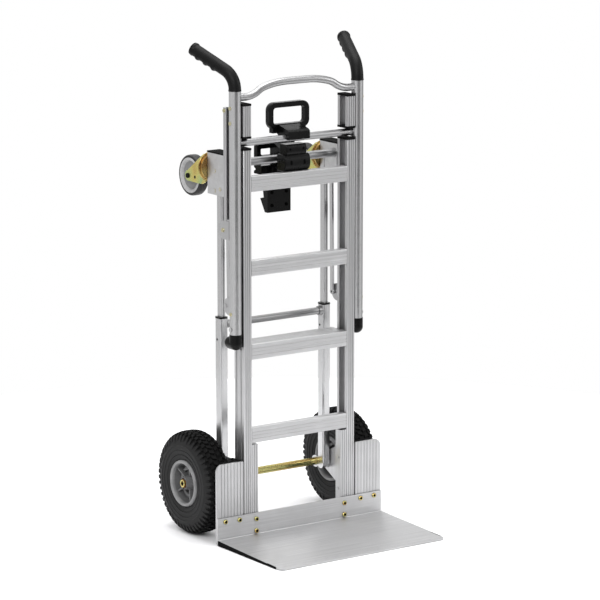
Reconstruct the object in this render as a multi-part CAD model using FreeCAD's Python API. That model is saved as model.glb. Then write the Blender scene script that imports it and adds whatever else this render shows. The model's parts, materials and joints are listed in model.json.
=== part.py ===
# Convertible hand truck: upright two-wheel truck with a rear caster frame.
# Millimetres. X across the truck, Y to the rear, Z up. The origin is on the
# ground, in the middle of the toe plate's heel, under the front of its flange.
import math
import os

import FreeCAD
import Part

V = FreeCAD.Vector

# ---- driving dimensions ---------------------------------------------------
# toe plate
TOE_WIDTH = 486.0
TOE_DEPTH = 267.0
TOE_HEEL = 13.0
TOE_TIP = 4.0
FLANGE_TOP = 66.0
FLANGE_THICK = 4.0
TOE_CORNER = 16.0
TOE_PLUG = 3.0

# upright rails, C section open towards the middle
RAIL_IN = 140.0
RAIL_OUT = 163.0
RAIL_FRONT = 4.0
RAIL_REAR = 46.0
RAIL_BOTTOM = 3.0
RAIL_TOP = 954.0
CAP_THICK = 5.0
POCKET_FRONT = 13.0
POCKET_REAR = 36.0
POCKET_DEPTH = 17.0

# rungs
RUNG_HEIGHT = 37.5
RUNG_DEPTH = 20.0
DEEP_RUNG_DEPTH = 64.0
RUNG_Z = {"top_rung": 853.0, "upper_rung": 649.0, "deep_rung": 445.0, "lower_rung": 239.0}

# doublers and wings at the foot
DOUBLER_IN = 122.0
DOUBLER_REAR = 26.0
DOUBLER_TOP = 235.0
WING_IN = 167.0
WING_OUT = TOE_WIDTH / 2
WING_TOP = 198.0
WING_PLATE = 5.5
WING_WEB = 5.0
WING_REAR = 48.0
WING_CORNER = 16.0

# axle and main wheels
AXLE_Y = 140.0
AXLE_Z = 127.0
AXLE_R = 9.5
AXLE_END = 254.0
BRACKET_IN = 163.2
BRACKET_THICK = 3.6
BRACKET_TOP = 195.0
WHEEL_X = 217.0
TYRE_R = 127.0
TYRE_HALF = 36.0
TYRE_BORE = 57.9
RIM_R = 57.6
RIM_WALL = 5.6
HUB_R = 17.0
HUB_IN = 183.0
HUB_OUT = 239.0

# sliding and folding handle
HANDLE_X = 178.0
HANDLE_Y = 16.5
HANDLE_R = 14.6
HANDLE_WALL = 2.0
HANDLE_FOOT = 508.0
HANDLE_TOP = 1099.5
FOLD_Z = 523.0
PIN_R = 4.0
GRIP_R = 15.2
GRIP_BEND = 50.0
GRIP_TURN = 65.0
GRIP_SPLAY = 19.5
GRIP_STRAIGHT = 103.0
GRIP_END = 7.0
ARCH_R = 9.0
ARCH_POINTS = [(168, 1081), (142, 1081), (121, 1087), (97, 1100), (55, 1108.5)]
ARCH_APEX = 1110.0
CROSS_Y = 24.0
CROSS_Z = 970.5
CROSS_R = 9.0
HOUSING_HALF = 37.0
HOUSING_TOP = 955.0
PULL_WIDTH = 117.0
PULL_HEIGHT = 64.5
PULL_BAR = 12.5
PULL_BOTTOM = 989.5
PULL_FRONT = 48.0
PULL_REAR = 64.0
LEVER_RISE = 37.0
LEVER_DROP = 39.0
SHORT_BOTTOM = 987.0
SHORT_TOP = 1060.0
CHANNEL_X = 185.0
CHANNEL_Y = 42.0
CHANNEL_SIDE = 12.0
CHANNEL_BOTTOM = 785.0
CHANNEL_TOP = 1056.0

# rear frame
REAR_X = 152.0
REAR_Y = 118.0
LOWER_W = 21.6
LOWER_D = 24.5
TUBE_WALL = 2.4
LOWER_TOP = 530.0
UPPER_W = 12.4
UPPER_D = 17.4
UPPER_BOTTOM = 408.0
UPPER_TOP = 900.0
ROD_Z = 515.0
ROD_R = 9.0
LUG_R = 16.0
BOX_IN = 147.0
BOX_OUT = 183.0
BOX_FRONT = 59.0
BOX_REAR = 130.0
BOX_BOTTOM = 838.0
BOX_TOP = 938.0
BOX_WALL = 2.5
REAR_CROSS_Y = 68.0
REAR_CROSS_Z = 915.0
REAR_CROSS_R = 10.0
STRUT_TOP = (88.0, 848.0)
STRUT_FOOT = (84.0, 567.0)
STRUT_IN = 150.0
STRUT_OUT = 155.0

# casters, swivelling about a level axis that points to the rear
CASTER_X = 165.0
CASTER_Z = 900.0
CASTER_AXLE_Y = 217.0
CASTER_TRAIL = 31.0
CASTER_R = 50.0
CASTER_HALF = 12.0
CASTER_CORE_R = 42.9
YOKE_IN = 14.0
YOKE_THICK = 3.0

os.makedirs("parts", exist_ok=True)


# ---- helpers --------------------------------------------------------------
def block(x0, x1, y0, y1, z0, z1):
    return Part.makeBox(x1 - x0, y1 - y0, z1 - z0, V(x0, y0, z0))


def rod_x(x0, x1, y, z, r):
    return Part.makeCylinder(r, x1 - x0, V(x0, y, z), V(1, 0, 0))


def rod_y(y0, y1, x, z, r):
    return Part.makeCylinder(r, y1 - y0, V(x, y0, z), V(0, 1, 0))


def rod_z(z0, z1, x, y, r):
    return Part.makeCylinder(r, z1 - z0, V(x, y, z0), V(0, 0, 1))


def prism(points, along):
    corners = [V(*p) for p in points]
    return Part.Face(Part.makePolygon(corners + corners[:1])).extrude(along)


def prism_x(points, x0, x1):
    return prism([(x0, y, z) for y, z in points], V(x1 - x0, 0, 0))


def prism_y(points, y0, y1):
    return prism([(x, y0, z) for x, z in points], V(0, y1 - y0, 0))


def join(shapes):
    result = shapes[0]
    if len(shapes) > 1:
        result = result.multiFuse(shapes[1:])
    return result.removeSplitter()


def flip(shape):
    return shape.mirror(V(0, 0, 0), V(1, 0, 0))


def both(shape):
    return [shape, flip(shape)]


def soften(shape, radius, direction, picks=None):
    """Fillet the straight edges that run in one direction."""
    edges = []
    for edge in shape.Edges:
        if len(edge.Vertexes) != 2:
            continue
        ends = edge.Vertexes[1].Point - edge.Vertexes[0].Point
        if ends.Length < 1e-6 or abs(abs(ends.normalize().dot(direction)) - 1) > 1e-6:
            continue
        if picks is None or picks(edge.CenterOfMass):
            edges.append(edge)
    return shape.makeFillet(radius, edges)


def turned_x(profile, x, y, z):
    """Turn a closed (offset, radius) profile about an axis along X."""
    corners = [V(x + a, y, z + r) for a, r in profile]
    face = Part.Face(Part.makePolygon(corners + corners[:1]))
    return face.revolve(V(x, y, z), V(1, 0, 0), 360)


def swept(points, radius):
    """Round bar along a smooth curve through the points."""
    curve = Part.BSplineCurve()
    curve.interpolate([V(*p) for p in points])
    start = curve.value(curve.FirstParameter)
    tangent = curve.tangent(curve.FirstParameter)[0]
    ring = Part.Wire([Part.makeCircle(radius, start, tangent)])
    return Part.Wire([curve.toShape()]).makePipeShell([ring], True, True)


def save(name, *shapes):
    solids = []
    for shape in shapes:
        solids.extend(shape.Solids)
    body = solids[0] if len(solids) == 1 else Part.makeCompound(solids)
    body.exportStep("parts/%s.step" % name)


# ---- toe plate ------------------------------------------------------------
def toe_plate():
    half = TOE_WIDTH / 2
    wedge = prism_x([(FLANGE_THICK, 0), (FLANGE_THICK, FLANGE_TOP), (0, FLANGE_TOP),
                     (0, TOE_HEEL + 1.5), (-1.5, TOE_HEEL), (-TOE_DEPTH, TOE_TIP),
                     (-TOE_DEPTH, 0)], -half, half)

    def front(p):
        return p.y < -TOE_DEPTH + 1

    wedge = soften(wedge, TOE_CORNER, V(0, 0, 1), front)
    sides = prism_x([(1, 1.5), (1, TOE_HEEL - 1), (-TOE_DEPTH + 20, TOE_TIP), (-TOE_DEPTH + 20, 1.5)],
                    half - TOE_PLUG, half + 1)
    for cutter in both(sides):
        wedge = wedge.cut(cutter)
    for x, z in BOLT_SPOTS:
        for side in (-1, 1):
            wedge = wedge.cut(rod_y(-1, FLANGE_THICK + 1, side * x, z, 3.2))
    return wedge, sides.common(block(0, half, -400, 100, 0, 100))


BOLT_SPOTS = [(131, 50.5), (131, 21.0), (180, 55.5), (221, 56.5)]
plate, plug = toe_plate()
save("toe_plate", plate)
save("toe_plugs", *both(plug))


def toe_bolt(x, z):
    head = rod_y(-3.2, 0, x, z, 5.6)
    socket = rod_y(-4, -1.2, x, z, 3.0)
    return join([head.cut(socket), rod_y(0, FLANGE_THICK, x, z, 3.1)])


bolts = []
for x, z in BOLT_SPOTS:
    bolts += both(toe_bolt(x, z))
save("toe_bolts", *bolts)


# ---- rails ----------------------------------------------------------------
def rail_section(z0, z1):
    body = block(RAIL_IN, RAIL_OUT, RAIL_FRONT, RAIL_REAR, z0, z1)
    body = soften(body, 1.6, V(0, 0, 1))
    pocket = block(RAIL_IN - 1, RAIL_IN + POCKET_DEPTH, POCKET_FRONT, POCKET_REAR, z0 - 1, z1 + 1)
    body = body.cut(pocket)
    for x in (145.5, 151.0, 156.5):
        body = body.cut(block(x, x + 1.6, RAIL_FRONT - 1, RAIL_FRONT + 1.0, z0 - 1, z1 + 1))
    for y in (15.0, 34.0):
        body = body.cut(block(RAIL_OUT - 1.0, RAIL_OUT + 1, y, y + 3.0, z0 - 1, z1 + 1))
    return body


def slider_slot(z0, z1):
    return block(RAIL_OUT - 2.6, RAIL_OUT + 1, HANDLE_Y - 4.2, HANDLE_Y + 4.2, z0, z1)


rail = rail_section(RAIL_BOTTOM, RAIL_TOP)
rail = rail.cut(slider_slot(470, RAIL_TOP + 1))
save("right_rail", rail)
save("left_rail", flip(rail))


def section_cap(z0, z1):
    cap = block(RAIL_IN - 0.6, RAIL_OUT, RAIL_FRONT - 0.8, RAIL_REAR + 0.8, z0, z1)
    return soften(cap, 2.0, V(0, 0, 1))


def rung(z, depth):
    body = block(-RAIL_IN + 0.1, RAIL_IN - 0.1, RAIL_FRONT + 0.4, RAIL_FRONT + depth, z, z + RUNG_HEIGHT)
    body = soften(body, 2.0, V(1, 0, 0))
    cavity = block(-RAIL_IN - 1, RAIL_IN + 1, RAIL_FRONT + 3.4, RAIL_FRONT + depth - 3,
                   z + 3, z + RUNG_HEIGHT - 3)
    body = body.cut(cavity)
    for step in (0.28, 0.5, 0.72):
        mid = z + step * RUNG_HEIGHT
        body = body.cut(block(-RAIL_IN - 1, RAIL_IN + 1, RAIL_FRONT, RAIL_FRONT + 1.2, mid - 0.8, mid + 0.8))
    if depth > 40:
        for y in (18, 30, 42, 54):
            top = z + RUNG_HEIGHT
            body = body.cut(block(-RAIL_IN - 1, RAIL_IN + 1, y - 1.2, y + 1.2, top - 1.0, top + 1))
    return body


for name, z in RUNG_Z.items():
    save(name, rung(z, DEEP_RUNG_DEPTH if name == "deep_rung" else RUNG_DEPTH))

doubler = block(DOUBLER_IN, RAIL_IN - 0.1, RAIL_FRONT + 0.4, DOUBLER_REAR, RAIL_BOTTOM, DOUBLER_TOP)
doubler = soften(doubler, 1.5, V(0, 0, 1))
for x in (127.0, 133.0):
    doubler = doubler.cut(block(x, x + 1.5, RAIL_FRONT, RAIL_FRONT + 1.4, 0, DOUBLER_TOP + 1))
for z in (86.0, 165.0):
    doubler = join([doubler, rod_x(DOUBLER_IN - 1.6, DOUBLER_IN + 2, 15, z, 3.6)])
save("right_doubler", doubler)
save("left_doubler", flip(doubler))


# ---- wings and black caps -------------------------------------------------
def wing():
    front = RAIL_FRONT
    plate = block(WING_IN, WING_OUT, front, front + WING_PLATE, RAIL_BOTTOM, WING_TOP)

    def corner(p):
        return p.x > WING_OUT - 1 and p.z > WING_TOP - 1

    plate = soften(plate, WING_CORNER, V(0, 1, 0), corner)
    x = WING_IN + 7
    while x < WING_OUT - 6:
        plate = plate.cut(block(x, x + 1.5, front - 1, front + 0.9, 0, WING_TOP + 1))
        x += 9.2
    web = block(WING_IN, WING_IN + WING_WEB, front + WING_PLATE - 0.5, WING_REAR, RAIL_BOTTOM, WING_TOP - 2)
    return join([plate, web])


save("right_wing", wing())
save("left_wing", flip(wing()))

wing_cap = join([block(WING_IN, WING_OUT - 18, RAIL_FRONT + WING_PLATE + 0.05, 24,
                       WING_TOP - 2, WING_TOP + 0.5),
                 block(WING_IN, WING_IN + 11, 22, WING_REAR, WING_TOP - 2, WING_TOP + 0.5)])
rail_cap = section_cap(RAIL_TOP, RAIL_TOP + CAP_THICK)
save("frame_caps", *(both(rail_cap) + both(wing_cap)))


# ---- axle and its brackets ------------------------------------------------
def axle_bracket():
    x0 = BRACKET_IN
    x1 = BRACKET_IN + BRACKET_THICK
    web = prism_x([(RAIL_FRONT + 3, 66), (47, 66), (AXLE_Y - 6, AXLE_Z - LUG_R + 1.2),
                   (AXLE_Y + 8, AXLE_Z + 12), (84, 172), (82, BRACKET_TOP), (RAIL_FRONT + 3, BRACKET_TOP)], x0, x1)
    plate = join([web, rod_x(x0, x1, AXLE_Y, AXLE_Z, LUG_R)])
    return plate.cut(rod_x(x0 - 1, x1 + 1, AXLE_Y, AXLE_Z, AXLE_R + 0.03))


save("right_axle_bracket", axle_bracket())
save("left_axle_bracket", flip(axle_bracket()))

axle = rod_x(-AXLE_END, AXLE_END, AXLE_Y, AXLE_Z, AXLE_R)
save("axle", axle)


def ring_x(x0, x1, y, z, outer, inner):
    return rod_x(x0, x1, y, z, outer).cut(rod_x(x0 - 1, x1 + 1, y, z, inner))


def hex_nut(x0, x1, y, z, radius, bore):
    corners = []
    for k in range(6):
        a = math.radians(60 * k + 30)
        corners.append((y + radius * math.cos(a), z + radius * math.sin(a)))
    return prism_x(corners, x0, x1).cut(rod_x(x0 - 1, x1 + 1, y, z, bore))


bore = AXLE_R + 0.03
sleeve = ring_x(BRACKET_IN + BRACKET_THICK, HUB_IN - 0.3, AXLE_Y, AXLE_Z, 13, bore)
washer = ring_x(HUB_OUT + 0.3, HUB_OUT + 2.8, AXLE_Y, AXLE_Z, 16, bore)
nut = hex_nut(HUB_OUT + 2.8, HUB_OUT + 11.5, AXLE_Y, AXLE_Z, 14.5, bore)
save("axle_hardware", *(both(sleeve) + both(washer) + both(nut)))


# ---- main wheels ----------------------------------------------------------
def tyre():
    half = TYRE_HALF
    side = [(half - 7, TYRE_BORE), (half - 3, 66), (half, 84), (half, 98), (half - 2, 110),
            (half - 7, 119), (half - 15, 124.5), (half - 26, TYRE_R)]
    profile = side + [(-a, r) for a, r in reversed(side)]
    return turned_x(profile, WHEEL_X, AXLE_Y, AXLE_Z)


def rim():
    """Barrel of the wheel centre, with a lip at each side."""
    half = TYRE_HALF - 1
    inner = RIM_R - RIM_WALL
    profile = [(half, inner + 1), (half, RIM_R), (-half, RIM_R), (-half, inner + 1), (-half + 2, inner),
               (half - 2, inner)]
    return turned_x(profile, WHEEL_X, AXLE_Y, AXLE_Z)


def hub():
    """Wheel disc inside the barrel, with the boss that turns on the axle."""
    core = AXLE_R + 0.1
    edge = RIM_R - RIM_WALL
    side = [(HUB_OUT - WHEEL_X, core), (HUB_OUT - WHEEL_X, HUB_R), (7, HUB_R + 2), (7, edge)]
    other = [(-7, edge), (-7, HUB_R + 2), (HUB_IN - WHEEL_X, HUB_R), (HUB_IN - WHEEL_X, core)]
    return turned_x(side + other, WHEEL_X, AXLE_Y, AXLE_Z)


save("right_tyre", tyre())
save("left_tyre", flip(tyre()))
save("right_rim", rim())
save("left_rim", flip(rim()))
save("right_hub", hub())
save("left_hub", flip(hub()))


# ---- handle ---------------------------------------------------------------
def handle_tube():
    tube = rod_z(HANDLE_FOOT, HANDLE_TOP, HANDLE_X, HANDLE_Y, HANDLE_R)
    tube = tube.cut(rod_z(HANDLE_FOOT - 1, HANDLE_TOP - 4, HANDLE_X, HANDLE_Y, HANDLE_R - HANDLE_WALL))
    return tube.cut(rod_x(150, 210, HANDLE_Y, FOLD_Z, PIN_R + 0.06))


save("right_handle_tube", handle_tube())
save("left_handle_tube", flip(handle_tube()))


def grip():
    """Sleeve that rises from the tube, bends back and outwards, and runs straight to its end."""
    splay = math.radians(GRIP_SPLAY)
    turn = math.radians(GRIP_TURN)

    def spot(back, up):
        return V(HANDLE_X + back * math.sin(splay), HANDLE_Y + back * math.cos(splay), HANDLE_TOP + up)

    start = spot(0, 0)
    middle = spot(GRIP_BEND * (1 - math.cos(turn / 2)), GRIP_BEND * math.sin(turn / 2))
    knee = spot(GRIP_BEND * (1 - math.cos(turn)), GRIP_BEND * math.sin(turn))
    far = spot(GRIP_BEND * (1 - math.cos(turn)) + GRIP_STRAIGHT * math.sin(turn),
               GRIP_BEND * math.sin(turn) + GRIP_STRAIGHT * math.cos(turn))
    path = Part.Wire([Part.Arc(start, middle, knee).toShape(), Part.makeLine(knee, far)])
    sleeve = path.makePipeShell([Part.Wire([Part.makeCircle(GRIP_R, start, V(0, 0, 1))])], True, True)
    rim = [e for e in sleeve.Edges if e.isClosed() and e.CenterOfMass.distanceToPoint(far) < 2]
    return sleeve.makeFillet(GRIP_END, rim)


save("right_grip", grip())
save("left_grip", flip(grip()))

arch_path = [(x, HANDLE_Y, z) for x, z in ARCH_POINTS] + [(0, HANDLE_Y, ARCH_APEX)]
arch_path += [(-x, HANDLE_Y, z) for x, z in reversed(ARCH_POINTS)]
arch = swept(arch_path, ARCH_R)
cross = rod_x(-170, 170, CROSS_Y, CROSS_Z, CROSS_R)
for side in (-1, 1):
    keep_out = rod_z(900, 1200, side * HANDLE_X, HANDLE_Y, HANDLE_R)
    arch = arch.cut(keep_out)
    cross = cross.cut(keep_out)
save("arch_bar", arch.Solids[0])
save("handle_cross_tube", cross.Solids[0])

short_rail = rail_section(SHORT_BOTTOM, SHORT_TOP)
save("short_rails", *both(short_rail))
caps = both(section_cap(SHORT_TOP, SHORT_TOP + CAP_THICK)) + both(section_cap(SHORT_BOTTOM - 5, SHORT_BOTTOM))
save("short_rail_caps", *caps)


def end_cap():
    """Black elbow on the foot of a handle tube; its short arm points to the rear and its rail side is flat."""
    r = HANDLE_R + 1.0
    knee = HANDLE_FOOT - 21
    socket = rod_z(knee, HANDLE_FOOT + 2, HANDLE_X, HANDLE_Y, r)
    ball = Part.makeSphere(r, V(HANDLE_X, HANDLE_Y, knee))
    arm = rod_y(HANDLE_Y, HANDLE_Y + 21, HANDLE_X, knee, r)
    tip = Part.makeSphere(r, V(HANDLE_X, HANDLE_Y + 21, knee))
    body = join([socket, ball, arm, tip]).cut(block(RAIL_IN, RAIL_OUT + 0.15, -10, 60, 400, 600))
    return body.cut(rod_z(HANDLE_FOOT - 0.01, HANDLE_FOOT + 5, HANDLE_X, HANDLE_Y, HANDLE_R + 0.02))


save("end_caps", *both(end_cap()))


def side_channel():
    half = CHANNEL_SIDE / 2
    tube = block(CHANNEL_X - half, CHANNEL_X + half, CHANNEL_Y - half, CHANNEL_Y + half,
                 CHANNEL_BOTTOM, CHANNEL_TOP)
    tube = soften(tube, 1.2, V(0, 0, 1))
    groove = block(CHANNEL_X - 3, CHANNEL_X + 3, CHANNEL_Y - half - 1, CHANNEL_Y + 2,
                   CHANNEL_BOTTOM - 1, CHANNEL_TOP + 1)
    pieces = [tube.cut(groove)]
    for z in (820, 930, 1040):
        clip = block(CHANNEL_X - 5, CHANNEL_X - 3, HANDLE_Y + HANDLE_R - 3, CHANNEL_Y - half + 0.5, z, z + 14)
        pieces.append(clip.cut(rod_z(700, 1200, HANDLE_X, HANDLE_Y, HANDLE_R)))
    return join(pieces)


save("side_channels", *both(side_channel()))


def lobe(x0, x1, front, rear, z, half):
    """Flat plate with a straight front edge and a rounded rear edge."""
    flat = block(x0, x1, front, rear - half, z - half, z + half)
    return join([flat, rod_x(x0, x1, rear - half, z, half)])


side_plate = lobe(184.0, 187.5, 30.2, 76.0, 760.0, 22.5)
save("side_plates", *both(side_plate))

rivets = []
for z in (1056.0, 1020.0, 560.0):
    head = rod_x(HANDLE_X + HANDLE_R - 1.2, HANDLE_X + HANDLE_R + 1.4, HANDLE_Y, z, 4.4)
    rivets += both(head.cut(rod_z(z - 10, z + 10, HANDLE_X, HANDLE_Y, HANDLE_R)))
rivets += both(rod_x(CHANNEL_X + 6, CHANNEL_X + 8, CHANNEL_Y + 1, 1048.0, 4.6))
rivets += both(rod_x(187.5, 189.5, 56.0, 759.0, 5.0))
save("handle_rivets", *rivets)


def handle_slider():
    shoe = block(RAIL_OUT - 2.3, RAIL_OUT + 0.2, HANDLE_Y - 3.9, HANDLE_Y + 3.9, FOLD_Z - 11, FOLD_Z + 60)
    pin = rod_x(RAIL_OUT - 1, HANDLE_X + HANDLE_R + 0.6, HANDLE_Y, FOLD_Z, PIN_R)
    head = rod_x(HANDLE_X + HANDLE_R + 0.5, HANDLE_X + HANDLE_R + 2.6, HANDLE_Y, FOLD_Z, 5.0)
    return join([shoe, pin, head])


save("handle_sliders", *both(handle_slider()))


# ---- latch on the top rung and the pull handle above it --------------------
def latch_housing():
    """Barrel-fronted catch housing that stands on the top rung, with a narrower block on top."""
    z0 = RUNG_Z["top_rung"] + RUNG_HEIGHT
    barrel = rod_x(-HOUSING_HALF, HOUSING_HALF, 33, z0 + 21, 22)
    lower = join([barrel.common(block(-HOUSING_HALF, HOUSING_HALF, 11, 45, z0, z0 + 41)),
                  block(-HOUSING_HALF, HOUSING_HALF, 27, 48, z0, z0 + 41)])
    upper = block(-HOUSING_HALF + 8, HOUSING_HALF - 8, 16, 48, z0 + 38, HOUSING_TOP)
    return join([lower, upper])


save("latch_housing", latch_housing())
screws = []
for x in (-19, 19):
    screws.append(rod_y(9.9, 11, x, 911.5, 3.2))
    screws.append(rod_y(14.6, 16, x, 943, 3.0))
save("housing_screws", *screws)


def ring_handle(width, height, bar, y0, y1, z0):
    """Closed loop in the XZ plane, used for both pull handles."""
    half = width / 2
    outer = soften(block(-half, half, y0, y1, z0, z0 + height), height * 0.3, V(0, 1, 0))
    inner = block(-half + bar, half - bar, y0 - 1, y1 + 1, z0 + bar, z0 + height - bar)
    radius = min(bar * 0.6, height / 2 - bar - 1)
    return outer.cut(soften(inner, radius, V(0, 1, 0)))


def pull_handle():
    """Finger loop behind the cross tube, with a sloping neck down to a saddle on the tube."""
    loop = ring_handle(PULL_WIDTH, PULL_HEIGHT, PULL_BAR, PULL_FRONT, PULL_REAR, PULL_BOTTOM)
    shoulder = block(-48, 48, PULL_FRONT, PULL_REAR, PULL_BOTTOM - 9, PULL_BOTTOM + PULL_BAR)
    neck = prism_x([(6, 968), (6, 987), (12, 991), (PULL_FRONT + 2, 1001), (PULL_REAR, 1001),
                    (PULL_REAR, 983), (38, 968)], -31, 31)
    saddle = rod_x(-31, 31, CROSS_Y, CROSS_Z, 16).common(block(-40, 40, 0, 60, 967.5, 1010))
    body = join([loop, shoulder, neck, saddle])
    return body.cut(rod_x(-80, 80, CROSS_Y, CROSS_Z, CROSS_R + 0.05))


save("pull_handle", pull_handle())


# ---- strut anchors behind the rails ----------------------------------------
anchor = lobe(157.5, 161.5, RAIL_REAR, STRUT_FOOT[0] + 9, STRUT_FOOT[1], 21.5)
anchor = join([anchor, rod_x(161.5, 163.2, STRUT_FOOT[0], STRUT_FOOT[1], 5.0),
               block(146, 161.5, RAIL_REAR, RAIL_REAR + 2.4, STRUT_FOOT[1] - 21.5, STRUT_FOOT[1] + 21.5)])
save("strut_anchors", *both(anchor))


# ---- rear frame -----------------------------------------------------------
def oval_tube(width, depth, z0, z1, radius):
    tube = block(REAR_X - width / 2, REAR_X + width / 2, REAR_Y - depth / 2, REAR_Y + depth / 2, z0, z1)
    return soften(tube, radius, V(0, 0, 1))


def lower_tube():
    body = oval_tube(LOWER_W, LOWER_D, AXLE_Z - 2, LOWER_TOP, 4.0)
    body = body.cut(oval_tube(LOWER_W - 2 * TUBE_WALL, LOWER_D - 2 * TUBE_WALL, 150, LOWER_TOP + 1, 2.0))
    x0 = REAR_X - LOWER_W / 2
    x1 = REAR_X + LOWER_W / 2
    foot = rod_x(x0, x1, REAR_Y, AXLE_Z - 2, LOWER_D / 2)
    lug = rod_x(x0, x1, AXLE_Y, AXLE_Z, LUG_R - 1)
    bridge = block(x0, x1, REAR_Y, AXLE_Y, AXLE_Z - 9, AXLE_Z + 14)
    body = join([body, foot, lug, bridge])
    body = body.cut(rod_x(x0 - 1, x1 + 1, AXLE_Y, AXLE_Z, AXLE_R + 0.07))
    return body.cut(rod_x(x0 - 1, x1 + 1, REAR_Y + 3, 478, 3.0))


save("rear_lower_tubes", *both(lower_tube()))
collar = oval_tube(LOWER_W + 1.8, LOWER_D + 1.8, LOWER_TOP, LOWER_TOP + 4, 5.0)
collar = collar.cut(oval_tube(UPPER_W + 0.7, UPPER_D + 0.7, LOWER_TOP - 1, LOWER_TOP + 5, 1.6))
save("tube_collars", *both(collar))
rod = rod_x(-REAR_X + LOWER_W / 2, REAR_X - LOWER_W / 2, REAR_Y, ROD_Z, ROD_R)
flanges = []
for side in (-1, 1):
    x = side * (REAR_X - LOWER_W / 2 - 4)
    flanges.append(rod_x(x - 4, x + 4, REAR_Y, ROD_Z, 11.3))
save("rear_lower_rod", join([rod] + flanges))


def upper_tube():
    body = oval_tube(UPPER_W, UPPER_D, UPPER_BOTTOM, UPPER_TOP, 1.6)
    groove = block(REAR_X - 2, REAR_X + 2, REAR_Y - UPPER_D, REAR_Y - UPPER_D / 2 + 1.5, 300, UPPER_TOP + 1)
    return body.cut(groove)


save("rear_upper_tubes", *both(upper_tube()))


def caster_box():
    w = BOX_WALL
    body = block(BOX_IN, BOX_OUT, BOX_FRONT, BOX_REAR, BOX_BOTTOM, BOX_TOP)
    body = soften(body, 2.0, V(0, 0, 1))
    body = body.cut(block(BOX_IN + w, BOX_OUT - w, BOX_FRONT + w, BOX_REAR - w, BOX_BOTTOM - 1, BOX_TOP + 1))
    body = body.cut(block(BOX_IN - 1, BOX_OUT - w, BOX_FRONT - 1, 100, BOX_BOTTOM - 1, BOX_BOTTOM + 26))
    ribs = block(REAR_X + UPPER_W / 2, BOX_OUT - w, REAR_Y - 3, REAR_Y + 3, BOX_BOTTOM + 4, UPPER_TOP)
    pin = rod_x(STRUT_OUT + 0.4, BOX_OUT, STRUT_TOP[0], STRUT_TOP[1], 5.0)
    stub = rod_x(STRUT_IN - 1.5, STRUT_OUT + 1, STRUT_TOP[0], STRUT_TOP[1], 3.0)
    heads = [rod_x(BOX_OUT, BOX_OUT + 0.8, STRUT_TOP[0] - 14, STRUT_TOP[1] + 6, 5.2),
             rod_x(BOX_OUT, BOX_OUT + 1.6, STRUT_TOP[0] + 10, STRUT_TOP[1], 3.8),
             rod_x(BOX_OUT, BOX_OUT + 1.6, STRUT_TOP[0] + 10, STRUT_TOP[1] + 48, 3.8)]
    return join([body, ribs, pin, stub] + heads).cut(oval_tube(UPPER_W, UPPER_D, 400, UPPER_TOP, 1.6))


save("caster_boxes", *both(caster_box()))
box_cap = block(BOX_IN - 1, BOX_OUT + 1, BOX_FRONT - 1, BOX_REAR + 1, BOX_TOP, BOX_TOP + 3.5)
box_cap = soften(box_cap, 2.5, V(0, 0, 1))
save("box_caps", *both(box_cap))
save("rear_cross_tube", rod_x(-BOX_IN, BOX_IN, REAR_CROSS_Y, REAR_CROSS_Z, REAR_CROSS_R))


def hook_bracket():
    """Channel with hooked rear edges, hung from the rear cross tube by two arms."""
    front = block(-34, 34, 92, 96, 780, 846)
    side = prism_x([(95, 780), (104, 780), (124, 812), (109, 816), (114, 846), (95, 846)], 30, 34)
    arm = prism_x([(68, 916), (79, 916), (79, 874), (96, 853), (96, 844), (90, 844), (68, 872)], 20, 26)
    body = join([front, side, flip(side), arm, flip(arm)])
    return body.cut(rod_x(-60, 60, REAR_CROSS_Y, REAR_CROSS_Z, REAR_CROSS_R))


save("hook_bracket", hook_bracket())
screws = []
for x in (-21, 21):
    for z in (797, 829):
        screws.append(rod_y(90.2, 92, x, z, 4.0))
save("bracket_screws", *screws)


def release_lever():
    """Finger loop and bar behind the rear cross tube, carried by a saddle that turns on the tube."""
    top = REAR_CROSS_Z + LEVER_RISE
    low = REAR_CROSS_Z - LEVER_DROP
    loop = ring_handle(112, 44, 11, 104, 118, top - 44)
    brow = block(-46, 46, 104, 118, top - 16, top - 9)
    bar = block(-56, 56, 86, 118, low, low + 22)
    legs = both(block(45, 56, 104, 118, low + 20, top - 20))
    notch = prism_x([(126, low + 21), (110, low + 11), (126, low + 1)], -57, -40)
    saddle = rod_x(-16, 16, REAR_CROSS_Y, REAR_CROSS_Z, 17)
    web = prism_x([(60, REAR_CROSS_Z + 8), (62, REAR_CROSS_Z + 16), (104, top - 3), (118, top - 3),
                   (118, low + 9), (84, low + 9)], -9, 9)
    body = join([loop, brow, bar, saddle, web] + legs)
    for cutter in both(notch):
        body = body.cut(cutter)
    return body.cut(rod_x(-80, 80, REAR_CROSS_Y, REAR_CROSS_Z, REAR_CROSS_R + 0.06))


save("release_lever", release_lever())


def strut():
    (y0, z0), (y1, z1) = STRUT_FOOT, STRUT_TOP
    length = math.hypot(y1 - y0, z1 - z0)
    bar = block(STRUT_IN, STRUT_OUT, y0 - 5.5, y0 + 5.5, z0, z0 + length)
    bar = join([bar, rod_x(STRUT_IN, STRUT_OUT, y0, z0, 6.5),
                rod_x(STRUT_IN, STRUT_OUT, y0, z0 + length, 7.5)])
    bar = bar.cut(rod_x(STRUT_IN - 1, STRUT_OUT + 1, y0, z0, 3.2))
    bar = bar.cut(rod_x(STRUT_IN - 1, STRUT_OUT + 1, y0, z0 + length, 3.06))
    bar.rotate(V(0, y0, z0), V(1, 0, 0), -math.degrees(math.atan2(y1 - y0, z1 - z0)))
    return bar


save("right_strut", strut())
save("left_strut", flip(strut()))


# ---- casters --------------------------------------------------------------
def raceway():
    plate = rod_y(BOX_REAR, BOX_REAR + 8, CASTER_X, CASTER_Z, 33)
    pin = rod_y(BOX_REAR + 8, BOX_REAR + 20, CASTER_X, CASTER_Z, 6)
    head = rod_y(BOX_REAR + 17, BOX_REAR + 21, CASTER_X, CASTER_Z, 10)
    return join([plate, pin, head])


save("caster_raceways", *both(raceway()))


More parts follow.
